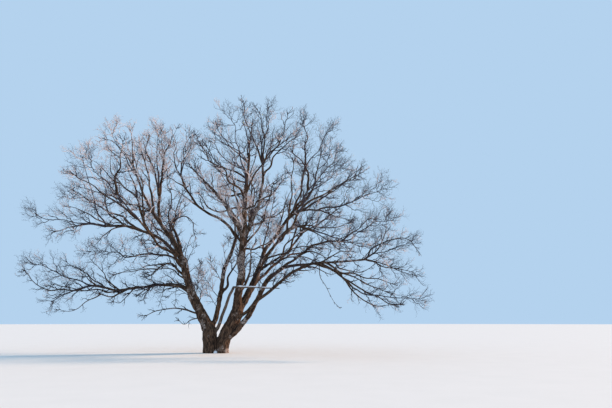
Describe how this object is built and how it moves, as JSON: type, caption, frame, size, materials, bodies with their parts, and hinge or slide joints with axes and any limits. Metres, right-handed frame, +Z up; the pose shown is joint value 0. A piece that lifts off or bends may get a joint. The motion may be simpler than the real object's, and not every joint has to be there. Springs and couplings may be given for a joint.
{
  "type": "bare winter elm tree",
  "caption": "Wide old elm in winter: two trunks fused at the foot, forking stems, spreading and arching boughs, and masses of fine bare twigs with rime on the upper crown.",
  "frame": {"origin": "in the flat cut at ground level, midway under the two fused trunks", "axes": "+Z up along the trunk, X along the widest spread of the crown, the pictured side faces -Y"},
  "size_m": [27.0555, 21.2169, 18.0727],
  "materials": {
    "bark": "rough furrowed bark, dark grey-brown with pale lichen and rime patches",
    "bough_bark": "rough bark, dark grey-brown, finer than on the trunk",
    "dead_wood": "weathered grey dead wood with snow lying along it",
    "twigs": "matt grey-brown twig bark",
    "rimed_twigs": "matt twigs coated with pale rime",
    "snow": "soft white snow"
  },
  "bodies": {
    "root": {"trunk": "bark", "left_stem": "bark", "inner_left_stem": "bark", "dead_stem": "dead_wood", "dead_limb": "dead_wood", "central_stem": "bark", "right_stem": "bark", "outer_right_stem": "bark", "front_bough": "bough_bark", "front_bough_outer": "bough_bark", "low_left_bough": "bough_bark", "back_left_low_bough": "bough_bark", "left_bough": "bough_bark", "high_left_bough": "bough_bark", "outer_left_bough": "bough_bark", "far_left_bough": "bough_bark", "left_front_bough": "bough_bark", "left_back_bough": "bough_bark", "inner_left_bough": "bough_bark", "top_bough": "bough_bark", "top_right_bough": "bough_bark", "centre_front_bough": "bough_bark", "centre_back_bough": "bough_bark", "high_right_bough": "bough_bark", "inner_right_bough": "bough_bark", "right_bough": "bough_bark", "arching_bough": "bough_bark", "back_right_bough": "bough_bark", "right_front_bough": "bough_bark", "level_right_bough": "bough_bark", "low_right_bough": "bough_bark", "twigs_low_left": "twigs", "twigs_bottom_left": "twigs", "twigs_left": "twigs", "twigs_upper_left": "rimed_twigs", "twigs_far_left": "twigs", "twigs_back_left": "twigs", "twigs_outer_left": "rimed_twigs", "twigs_high_left": "rimed_twigs", "twigs_inner_left": "rimed_twigs", "twigs_left_front": "twigs", "twigs_left_back": "twigs", "twigs_centre_left": "rimed_twigs", "twigs_top": "twigs", "twigs_top_left": "twigs", "twigs_top_right": "twigs", "twigs_top_far_right": "twigs", "twigs_centre_front": "twigs", "twigs_centre_back": "twigs", "twigs_low_back": "twigs", "twigs_high_right": "twigs", "twigs_inner_right": "twigs", "twigs_right": "twigs", "twigs_arching": "twigs", "twigs_back_right": "twigs", "twigs_right_front": "twigs", "twigs_level_right": "twigs", "twigs_low_right": "twigs", "twigs_bottom_right": "twigs", "twigs_front_right": "twigs"}
  },
  "joints": []
}
